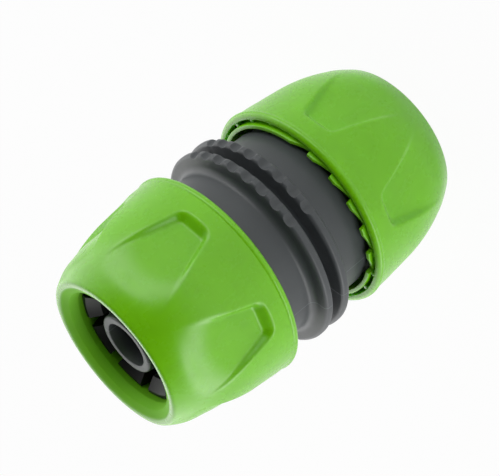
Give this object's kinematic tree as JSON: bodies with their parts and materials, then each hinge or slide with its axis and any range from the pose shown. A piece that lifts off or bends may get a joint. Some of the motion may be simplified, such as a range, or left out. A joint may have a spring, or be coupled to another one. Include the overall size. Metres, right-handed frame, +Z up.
{
  "type": "hose mender",
  "caption": "Straight mender that joins two cut ends of a garden hose: barbed tails in a grey body, sprung claws, and a domed green screw nut at each end.",
  "frame": {"origin": "centre of the mouth of the lower nut, on the plane that the mender stands on", "axes": "+Z up along the common axis from the lower nut to the upper nut; the scalloped sides of the flanges face -Y and +Y"},
  "size_m": [0.041, 0.041, 0.069],
  "materials": {
    "grey_plastic": "satin moulded plastic, mid grey",
    "dark_plastic": "matte moulded plastic, dark grey",
    "green_plastic": "satin moulded plastic, lime green"
  },
  "bodies": {
    "centre_body": {"centre_body": "grey_plastic"},
    "claw_ring_low": {"claw_ring_low": "dark_plastic"},
    "claw_ring_high": {"claw_ring_high": "dark_plastic"},
    "clamp_nut_low": {"clamp_nut_low": "green_plastic"},
    "clamp_nut_high": {"clamp_nut_high": "green_plastic"}
  },
  "joints": [
    {"name": "claw_travel_low", "type": "slide", "parent": "centre_body", "child": "claw_ring_low", "axis": [0, 0, 1], "range_m": [-0.001, 0.005]},
    {"name": "nut_turn_low", "type": "hinge", "parent": "claw_ring_low", "child": "clamp_nut_low", "pos_m": [0, 0, 0.012], "axis": [0, 0, 1], "range_deg": [-60, 300]},
    {"name": "claw_travel_high", "type": "slide", "parent": "centre_body", "child": "claw_ring_high", "axis": [0, 0, -1], "range_m": [-0.001, 0.005]},
    {"name": "nut_turn_high", "type": "hinge", "parent": "claw_ring_high", "child": "clamp_nut_high", "pos_m": [0, 0, 0.057], "axis": [0, 0, -1], "range_deg": [-60, 300]}
  ],
  "couplings": [
    {"joint": "claw_travel_low", "follows": "nut_turn_low", "m_per_rad": 0.00095493},
    {"joint": "claw_travel_high", "follows": "nut_turn_high", "m_per_rad": 0.00095493}
  ]
}
